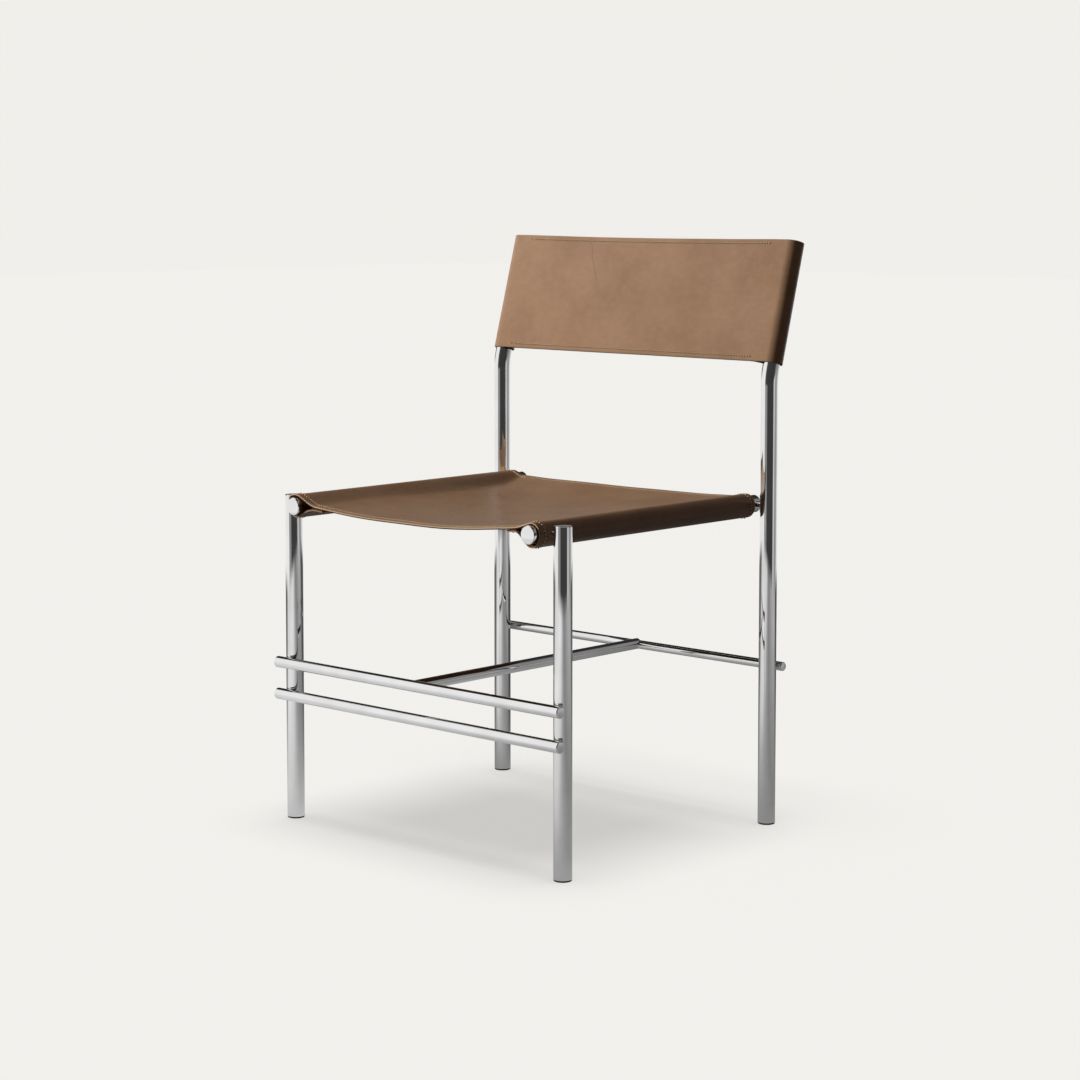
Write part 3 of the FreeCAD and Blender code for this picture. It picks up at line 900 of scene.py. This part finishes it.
def studio_world(settings):
    """The studio as its rays see it: the camera sees the plain backdrop, a mirror sees white
    screens with a dark room between them, and everything else is lit by a low soft dome.

    A direction is split into its angle round the chair, measured from the camera's side, and
    its height above the horizon.
    """
    world = bpy.data.worlds.new("studio")
    bpy.context.scene.world = world
    world.use_nodes = True
    tree = world.node_tree
    tree.nodes.clear()
    way = add(tree, "TexCoord").outputs["Generated"]
    to_right, to_camera = (
        add(tree, "VectorMath", {0: way, 1: axis}, operation="DOT_PRODUCT").outputs["Value"]
        for axis in (TO_RIGHT, TO_CAMERA)
    )
    round_it = add(tree, "Math", {0: to_right, 1: to_camera}, operation="ARCTAN2")
    round_it = add(tree, "MapRange", {"Value": round_it, "From Min": -pi, "From Max": pi})
    height = add(tree, "SeparateXYZ", {"Vector": way}).outputs["Z"]

    # below the horizon, just above it and higher up, as a mirror sees them
    level = ring_stops(
        (-180, 0.95), (-64, 0.95), (-60, 0.32), (-34, 0.28), (-28, 0.05), (45, 0.05),
        (52, 0.22), (58, 0.7), (66, 0.7), (76, 0.3), (112, 0.42), (122, 0.85), (180, 0.95),
    )
    close = ring_stops(
        (-180, 0.22), (-174, 0.22), (-170, 0.04), (-134, 0.02), (-129, 0.95), (-66, 0.95),
        (-60, 0.1), (-40, 0.05), (50, 0.04), (70, 0.25), (110, 0.25), (130, 0.03),
        (170, 0.04), (174, 0.22), (180, 0.22),
    )
    above = ring_stops(
        (-180, 0.02), (-134, 0.02), (-129, 0.95), (-66, 0.95), (-60, 0.1), (-40, 0.05),
        (50, 0.04), (70, 0.25), (110, 0.25), (130, 0.03), (180, 0.02),
    )
    mirrored, close, above = (
        add(tree, "ValToRGB", {"Fac": round_it}, stops=stops) for stops in (level, close, above)
    )
    overhead = (0.25, 0.25, 0.25, 1)
    for start, end, higher in ((-0.02, 0.02, close), (0.2, 0.24, above), (0.8, 0.95, overhead)):
        share = add(tree, "MapRange", {"Value": height, "From Min": start, "From Max": end})
        mirrored = add(tree, "Mix", {0: share, 6: mirrored, 7: higher}, data_type="RGBA")

    # the dome that lights everything that isn't a mirror, warm on the side away from the key
    warm = (0.055, 0.014, 0.004, 1)
    dome = ring_stops((-180, 0.32), (-90, 0.42), (-20, 0.12), (50, warm), (120, warm), (180, 0.32))
    dome = add(tree, "ValToRGB", {"Fac": round_it}, stops=dome)
    share = add(tree, "MapRange", {"Value": height, "From Min": 0.2, "From Max": 1.0})
    dome = add(tree, "Mix", {0: share, 6: dome, 7: (0.17, 0.155, 0.14, 1)}, data_type="RGBA")
    path = add(tree, "LightPath").outputs
    seen = add(tree, "Mix", {0: path["Is Glossy Ray"], 6: dome, 7: mirrored}, data_type="RGBA")
    seen = add(
        tree, "Mix", {0: path["Is Camera Ray"], 6: seen, 7: settings.backdrop}, data_type="RGBA"
    )
    light = add(tree, "Background", {"Color": seen, "Strength": 1.0})
    add(tree, "OutputWorld", {"Surface": light})
    world.cycles.sampling_method = "NONE"


def studio_floor(settings):
    """A plain pale floor, 40 m across. It is matt to the camera, and what the tubes mirror of
    it grows dimmer from the lit side to the other and behind the chair, and ends at the
    floor's edge."""
    corners = np.array([[-20, -20, 0], [20, -20, 0], [20, 20, 0], [-20, 20, 0]], float)
    floor = new_mesh("studio_floor", corners, np.array([[0, 1, 2, 3]]), smooth=False)
    material, tree = new_material("matt_studio_floor")
    place = add(tree, "TexCoord").outputs["Object"]
    across, before = (
        add(tree, "VectorMath", {0: place, 1: axis}, operation="DOT_PRODUCT").outputs["Value"]
        for axis in (TO_RIGHT, TO_CAMERA)
    )

    # what a mirror sees of the floor
    share = add(tree, "MapRange", {"Value": across, "From Min": -2.0, "From Max": 2.0})
    shine = add(
        tree,
        "ValToRGB",
        {"Fac": share},
        stops=[
            (0.0, 0.78), (0.2, 0.88), (0.375, 0.7), (0.47, 0.44), (0.54, 0.33), (0.64, 0.25),
            (0.8, 0.33), (1.0, 0.45),
        ],
    )
    behind = add(
        tree, "MapRange", {"Value": before, "From Min": -0.1, "From Max": -0.7, "To Max": 0.85}
    )
    shine = add(tree, "Mix", {0: behind, 6: shine, 7: (0.03, 0.03, 0.03, 1)}, data_type="RGBA")
    away = add(tree, "VectorMath", {0: place}, operation="LENGTH").outputs["Value"]
    beyond = add(
        tree,
        "MapRange",
        {
            "Value": away,
            "From Min": settings.floor_reach - 0.25,
            "From Max": settings.floor_reach + 0.1,
        },
    )
    glow = add(tree, "Emission", {"Color": shine, "Strength": 1.0})
    clear = add(tree, "BsdfTransparent")
    mirrored = add(tree, "MixShader", {0: beyond, 1: glow, 2: clear})

    # the light that the floor throws up, warm on the side away from the key
    share = add(tree, "MapRange", {"Value": across, "From Min": -1.0, "From Max": 1.0})
    warm, dimmer = (0.03, 0.01, 0.003, 1), (0.024, 0.007, 0.002, 1)
    bounce = add(
        tree,
        "ValToRGB",
        {"Fac": share},
        stops=[(0.0, 0.24), (0.5, 0.11), (0.75, warm), (1.0, dimmer)],
    )
    bounced = add(tree, "Emission", {"Color": bounce, "Strength": 1.0})

    # what the camera sees: an even glow that the lights and the soft shadow play over
    pale = Vector(settings.backdrop[:3]) * settings.floor_tint
    matt = add(tree, "BsdfDiffuse", {"Color": (*pale, 1)})
    even = add(tree, "Emission", {"Color": settings.backdrop, "Strength": settings.glow})
    matt = add(tree, "AddShader", {0: matt, 1: even})
    path = add(tree, "LightPath").outputs
    seen = add(tree, "MixShader", {0: path["Is Glossy Ray"], 1: bounced, 2: mirrored})
    seen = add(tree, "MixShader", {0: path["Is Camera Ray"], 1: seen, 2: matt})
    add(tree, "OutputMaterial", {"Surface": seen})
    floor.data.materials.append(material)
    return floor


def link_light(lamp, lit, unlit):
    """Puts a light in the scene and has it shine on some objects only, or on all but some."""
    bpy.context.scene.collection.objects.link(lamp)
    reached = bpy.data.collections.new(lamp.name + "_reach")
    for obj in (*lit, *unlit):
        reached.objects.link(obj)
    for shown, obj in zip(reached.collection_objects, reached.objects):
        shown.light_linking.link_state = "EXCLUDE" if obj in unlit else "INCLUDE"
    lamp.light_linking.receiver_collection = reached


def soft_sun(name, strength, angle, towards, lit, unlit=()):
    """A soft distant light that shines in a direction, and only on some objects."""
    light = bpy.data.lights.new(name, "SUN")
    light.energy, light.angle = strength, radians(angle)
    lamp = bpy.data.objects.new(name, light)
    lamp.rotation_euler = Vector(towards).to_track_quat("-Z", "Y").to_euler()
    lamp.visible_glossy = False
    link_light(lamp, lit, unlit)
    return lamp


def soft_screen(name, power, size, place, aim, unlit):
    """A square soft light at a place, aimed at a point."""
    light = bpy.data.lights.new(name, "AREA")
    light.energy, light.size = power, size
    lamp = bpy.data.objects.new(name, light)
    lamp.location = place
    lamp.rotation_euler = (Vector(aim) - Vector(place)).to_track_quat("-Z", "Y").to_euler()
    lamp.visible_glossy = False
    link_light(lamp, (), unlit)
    return lamp


class CHAIR_OT_studio(bpy.types.Operator):
    """Set up the camera, the pale floor and the soft studio lights"""

    bl_idname = "chair.studio"
    bl_label = "Studio"

    def execute(self, context):
        scene, settings = context.scene, context.scene.chair_studio
        scene.view_settings.view_transform = "Standard"
        lens = bpy.data.cameras.new("camera")
        lens.lens, lens.sensor_width, lens.shift_y = 88.53, 36.0, -0.12
        camera = bpy.data.objects.new("camera", lens)
        camera.location = (2.5698, -2.7590, 0.9079)
        camera.rotation_euler = (radians(85.18), 0, radians(42.935))
        scene.collection.objects.link(camera)
        scene.camera = camera

        # the key shines from the left of the picture and the rear light from behind the chair,
        # the top light gives the floor its soft shadow, and the screen lifts the seat
        studio_world(settings)
        floor = studio_floor(settings)
        key = soft_sun("key", settings.key, 10, (0.68, 0.67, -0.295), (), (floor,))
        rear = soft_sun("rear", settings.rear, 30, (0.2, -0.93, -0.3), (), (floor,))
        top = soft_sun("top", settings.top, 32, (0.0, 0.0, -1), (floor,))
        screen = soft_screen("screen", 15, 0.9, (-1.1, -0.3, 1.55), (-0.1, 0, 0.45), (floor,))
        return {"FINISHED"}


class CHAIR_PT_panel(bpy.types.Panel):
    """Buttons and settings of the chair"""

    bl_idname = "CHAIR_PT_panel"
    bl_label = "Leather Dining Chair"
    bl_space_type = "VIEW_3D"
    bl_region_type = "UI"
    bl_category = "Chair"

    def draw(self, context):
        for operator in OPERATORS:
            self.layout.operator(operator.bl_idname)
        for name in SETTINGS:
            box = self.layout.box()
            group = getattr(context.scene, name)
            for prop in group.bl_rna.properties:
                if prop.identifier not in ("rna_type", "name"):
                    box.prop(group, prop.identifier)


OPERATORS = (CHAIR_OT_metal, CHAIR_OT_seat, CHAIR_OT_back, CHAIR_OT_studio)
SETTINGS = {
    "chair_seat": SeatSizes,
    "chair_back": BackSizes,
    "chair_sewing": SewingSizes,
    "chair_finishes": Finishes,
    "chair_studio": StudioSettings,
}


def register():
    """Adds the settings, operators and panel to Blender."""
    for cls in (*SETTINGS.values(), *OPERATORS, CHAIR_PT_panel):
        bpy.utils.register_class(cls)
    for name, cls in SETTINGS.items():
        setattr(bpy.types.Scene, name, bpy.props.PointerProperty(type=cls))


def unregister():
    """Takes them out again."""
    for name in SETTINGS:
        delattr(bpy.types.Scene, name)
    for cls in (CHAIR_PT_panel, *OPERATORS[::-1], *SETTINGS.values()):
        bpy.utils.unregister_class(cls)


def main():
    """Runs every operator in turn."""
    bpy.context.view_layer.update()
    register()
    for operator in OPERATORS:
        group, name = operator.bl_idname.split(".")
        getattr(getattr(bpy.ops, group), name)()


if __name__ == "__main__":
    main()
